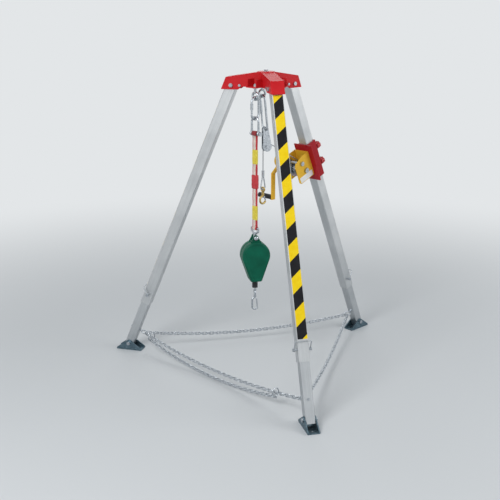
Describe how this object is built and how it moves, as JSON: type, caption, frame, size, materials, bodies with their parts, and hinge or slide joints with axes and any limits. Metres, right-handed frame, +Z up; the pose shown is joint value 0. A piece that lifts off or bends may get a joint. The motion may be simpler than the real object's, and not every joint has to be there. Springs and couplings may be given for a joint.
{
  "type": "rescue tripod",
  "caption": "Rescue tripod with folding telescopic legs and safety chains, a crank winch and pulley on one line, and a sling-hung fall arrester on the other.",
  "frame": {"origin": "on the floor under the middle of the head", "axes": "+Z up; one leg towards -Y, the winch leg towards +X and +Y at 30 degrees from +X, the third towards -X and +Y"},
  "size_m": [1.4454, 1.2517, 1.5007],
  "materials": {
    "red_paint": "satin",
    "clamp_red": "satin",
    "knob_red": "gloss",
    "yellow_paint": "satin",
    "aluminium": "mill",
    "zinc": "zinc plated",
    "galvanised": "galvanised",
    "chain_steel": "zinc plated",
    "wire_rope": "wire rope",
    "gold_steel": "yellow zinc",
    "webbing": "woven",
    "sleeve_yellow": "woven",
    "case_green": "satin",
    "black_plastic": "matte"
  },
  "bodies": {
    "head": {"head_frame": "red_paint", "head_bolts": "zinc", "anchor_eyes": "zinc", "pulley_carabiner": "zinc", "pulley_cheeks": "zinc", "winch_rope_lead": "wire_rope", "winch_rope_drop": "wire_rope"},
    "pulley_gate": {"pulley_gate": "zinc"},
    "sheave": {"pulley_sheave": "zinc"},
    "winch_hook": {"rope_eye": "zinc", "rope_hook": "gold_steel"},
    "winch_hook_latch": {"rope_hook_latch": "zinc"},
    "sling_line": {"sling_carabiner": "zinc", "sling_shackle": "zinc", "sling_webbing": "webbing", "sling_sleeves": "sleeve_yellow", "arrester_swivel": "zinc"},
    "sling_gate": {"sling_gate": "zinc"},
    "arrester": {"arrester_case_front": "case_green", "arrester_case_rear": "case_green", "arrester_nozzle": "black_plastic"},
    "arrester_drum": {"arrester_drum": "zinc"},
    "lifeline": {"lifeline": "wire_rope", "arrester_hook": "zinc"},
    "arrester_hook_gate": {"arrester_hook_gate": "zinc"},
    "winch_drum": {"winch_drum": "zinc", "drum_rope": "wire_rope"},
    "crank": {"crank_shaft": "zinc", "crank_arm": "yellow_paint"},
    "crank_grip": {"crank_grip": "black_plastic"},
    "clamp_knob_upper": {"clamp_knob_upper": "knob_red"},
    "clamp_knob_lower": {"clamp_knob_lower": "knob_red"},
    "upper_front": {"upper_tube_front": "aluminium", "lock_pin_front": "zinc"},
    "lower_front": {"lower_tube_front": "aluminium", "lower_bolts_front": "zinc"},
    "foot_front": {"foot_front": "galvanised"},
    "bail_front": {"lock_bail_front": "zinc"},
    "upper_rear": {"upper_tube_rear": "aluminium", "lock_pin_rear": "zinc", "winch_clamp": "clamp_red", "winch_frame": "yellow_paint", "drum_shaft": "zinc", "brake_cover": "yellow_paint"},
    "lower_rear": {"lower_tube_rear": "aluminium", "lower_bolts_rear": "zinc"},
    "foot_rear": {"foot_rear": "galvanised"},
    "bail_rear": {"lock_bail_rear": "zinc"},
    "upper_left": {"upper_tube_left": "aluminium", "lock_pin_left": "zinc"},
    "lower_left": {"lower_tube_left": "aluminium", "lower_bolts_left": "zinc"},
    "foot_left": {"foot_left": "galvanised"},
    "bail_left": {"lock_bail_left": "zinc"},
    "chain_left_rear": {"chain_left_rear": "chain_steel"},
    "quick_link_left_rear": {"quick_link_left_rear": "zinc"},
    "chain_left_front": {"chain_left_front": "chain_steel"},
    "quick_link_left_front": {"quick_link_left_front": "zinc"},
    "chain_front_rear": {"chain_front_rear": "chain_steel"},
    "quick_link_front_rear": {"quick_link_front_rear": "zinc"}
  },
  "joints": [
    {"name": "fold_front", "type": "hinge", "parent": "head", "child": "upper_front", "pos_m": [0, -0.165, 1.425], "axis": [1, 0, 0], "range_deg": [0, 18]},
    {"name": "extend_front", "type": "slide", "parent": "upper_front", "child": "lower_front", "axis": [0, -0.3875, -0.9219], "range_m": [0, 0.6]},
    {"name": "foot_tilt_front", "type": "hinge", "parent": "lower_front", "child": "foot_front", "pos_m": [0, -0.74804, 0.038], "axis": [1, 0, 0], "range_deg": [-20, 20]},
    {"name": "bail_front", "type": "hinge", "parent": "upper_front", "child": "bail_front", "pos_m": [0, -0.62808, 0.32337], "axis": [-1, 0, 0], "range_deg": [-90, 8]},
    {"name": "fold_rear", "type": "hinge", "parent": "head", "child": "upper_rear", "pos_m": [0.14289, 0.0825, 1.425], "axis": [-0.5, 0.866, 0], "range_deg": [0, 18], "deforming": ["winch_rope_lead"]},
    {"name": "extend_rear", "type": "slide", "parent": "upper_rear", "child": "lower_rear", "axis": [0.3356, 0.1938, -0.9219], "range_m": [0, 0.6]},
    {"name": "foot_tilt_rear", "type": "hinge", "parent": "lower_rear", "child": "foot_rear", "pos_m": [0.64782, 0.37402, 0.038], "axis": [-0.5, 0.866, 0], "range_deg": [-20, 20]},
    {"name": "bail_rear", "type": "hinge", "parent": "upper_rear", "child": "bail_rear", "pos_m": [0.54393, 0.31404, 0.32337], "axis": [0.5, -0.866, 0], "range_deg": [-90, 8]},
    {"name": "fold_left", "type": "hinge", "parent": "head", "child": "upper_left", "pos_m": [-0.14289, 0.0825, 1.425], "axis": [-0.5, -0.866, 0], "range_deg": [0, 18]},
    {"name": "extend_left", "type": "slide", "parent": "upper_left", "child": "lower_left", "axis": [-0.3356, 0.1938, -0.9219], "range_m": [0, 0.6]},
    {"name": "foot_tilt_left", "type": "hinge", "parent": "lower_left", "child": "foot_left", "pos_m": [-0.64782, 0.37402, 0.038], "axis": [-0.5, -0.866, 0], "range_deg": [-20, 20]},
    {"name": "bail_left", "type": "hinge", "parent": "upper_left", "child": "bail_left", "pos_m": [-0.54393, 0.31404, 0.32337], "axis": [0.5, 0.866, 0], "range_deg": [-90, 8]},
    {"name": "chain_stow_left_rear", "type": "hinge", "parent": "lower_left", "child": "chain_left_rear", "pos_m": [-0.56271, 0.33412, 0.09578], "axis": [-0.4903, -0.7118, -0.503], "range_deg": [0, 82.81]},
    {"name": "chain_reach_left_rear", "type": "slide", "parent": "chain_left_rear", "child": "quick_link_left_rear", "axis": [1, 0, 0], "range_m": [0, 0.4032], "deforming": ["chain_left_rear"]},
    {"name": "chain_stow_left_front", "type": "hinge", "parent": "lower_left", "child": "chain_left_front", "pos_m": [-0.57071, 0.32026, 0.09578], "axis": [-0.8765, 0.3009, -0.3758], "range_deg": [0, 107.39]},
    {"name": "chain_reach_left_front", "type": "slide", "parent": "chain_left_front", "child": "quick_link_left_front", "axis": [0.5, -0.866, 0], "range_m": [0, 0.4032], "deforming": ["chain_left_front"]},
    {"name": "chain_stow_front_rear", "type": "hinge", "parent": "lower_front", "child": "chain_front_rear", "pos_m": [0.008, -0.65438, 0.09578], "axis": [0.1776, -0.9095, -0.3758], "range_deg": [0, 107.39]},
    {"name": "chain_reach_front_rear", "type": "slide", "parent": "chain_front_rear", "child": "quick_link_front_rear", "axis": [0.5, 0.866, 0], "range_m": [0, 0.4032], "deforming": ["chain_front_rear"]},
    {"name": "crank_turn", "type": "hinge", "parent": "upper_rear", "child": "crank", "pos_m": [0.19103, 0.13108, 1.02032], "axis": [-0.5, 0.866, 0], "range_deg": [-360, 1440]},
    {"name": "drum_turn", "type": "hinge", "parent": "upper_rear", "child": "winch_drum", "pos_m": [0.2197, 0.14763, 0.98285], "axis": [-0.5, 0.866, 0], "range_deg": [-480.1, 120.1]},
    {"name": "winch_hook_lower", "type": "slide", "parent": "head", "child": "winch_hook", "axis": [0, 0, -1], "range_m": [-0.06471, 0.25823], "deforming": ["winch_rope_drop"]},
    {"name": "sheave_turn", "type": "hinge", "parent": "head", "child": "sheave", "pos_m": [0.02669, 0.07901, 1.11745], "axis": [-0.2539, 0.9672, 0], "range_deg": [-721.27, 180.39]},
    {"name": "grip_turn", "type": "hinge", "parent": "crank", "child": "crank_grip", "pos_m": [0.19103, 0.13108, 0.81532], "axis": [-0.5, 0.866, 0], "continuous": true},
    {"name": "clamp_knob_upper", "type": "hinge", "parent": "upper_rear", "child": "clamp_knob_upper", "pos_m": [0.30849, 0.17811, 1.08883], "axis": [0.7984, 0.4609, 0.3875], "continuous": true},
    {"name": "clamp_knob_lower", "type": "hinge", "parent": "upper_rear", "child": "clamp_knob_lower", "pos_m": [0.33936, 0.19593, 1.00402], "axis": [0.7984, 0.4609, 0.3875], "continuous": true},
    {"name": "pulley_gate_open", "type": "hinge", "parent": "head", "child": "pulley_gate", "pos_m": [0.0098, 0.09835, 1.22615], "axis": [-0.9619, -0.2525, -0.1045], "range_deg": [-12, 0], "stiffness_Nm_per_rad": 0.05},
    {"name": "winch_hook_latch_open", "type": "hinge", "parent": "winch_hook", "child": "winch_hook_latch", "pos_m": [0.01457, 0.07825, 0.8656], "axis": [-0.5, 0.866, 0], "range_deg": [0, 20], "stiffness_Nm_per_rad": 0.05},
    {"name": "sling_swing", "type": "hinge", "parent": "head", "child": "sling_line", "pos_m": [-0.06235, -0.036, 1.363], "axis": [-0.5, 0.866, 0], "range_deg": [-2, 6]},
    {"name": "sling_gate_open", "type": "hinge", "parent": "sling_line", "child": "sling_gate", "pos_m": [-0.08227, -0.0475, 1.2933], "axis": [0.5, -0.866, 0], "range_deg": [-20, 0], "stiffness_Nm_per_rad": 0.05},
    {"name": "arrester_swivel_turn", "type": "hinge", "parent": "sling_line", "child": "arrester", "pos_m": [-0.06235, -0.036, 0.676], "axis": [0, 0, 1], "continuous": true},
    {"name": "lifeline_pull", "type": "slide", "parent": "arrester", "child": "lifeline", "axis": [0, 0, -1], "range_m": [0, 0.1], "stiffness_N_per_m": 30, "springref_m": -0.5},
    {"name": "arrester_drum_turn", "type": "hinge", "parent": "arrester", "child": "arrester_drum", "pos_m": [-0.06235, -0.036, 0.6], "axis": [0, 1, 0], "range_deg": [0, 130.32]},
    {"name": "arrester_hook_gate_open", "type": "hinge", "parent": "lifeline", "child": "arrester_hook_gate", "pos_m": [-0.05395, -0.036, 0.3708], "axis": [0, 1, 0], "range_deg": [0, 20], "stiffness_Nm_per_rad": 0.05}
  ],
  "couplings": [
    {"joint": "fold_rear", "follows": "fold_front", "ratio": 1},
    {"joint": "extend_rear", "follows": "extend_front", "ratio": 1},
    {"joint": "fold_left", "follows": "fold_front", "ratio": 1},
    {"joint": "extend_left", "follows": "extend_front", "ratio": 1},
    {"joint": "chain_stow_left_rear", "follows": "fold_front", "ratio": 4.6001},
    {"joint": "chain_reach_left_rear", "follows": "extend_front", "ratio": 0.6712},
    {"joint": "chain_stow_left_front", "follows": "fold_front", "ratio": 5.9655},
    {"joint": "chain_reach_left_front", "follows": "extend_front", "ratio": 0.6712},
    {"joint": "chain_stow_front_rear", "follows": "fold_front", "ratio": 5.9655},
    {"joint": "chain_reach_front_rear", "follows": "extend_front", "ratio": 0.6712},
    {"joint": "drum_turn", "follows": "crank_turn", "ratio": -0.33333},
    {"joint": "winch_hook_lower", "follows": "crank_turn", "m_per_rad": 0.010267},
    {"joint": "sheave_turn", "follows": "crank_turn", "ratio": -0.50081},
    {"joint": "arrester_drum_turn", "follows": "lifeline_pull", "rad_per_m": 22.727}
  ]
}
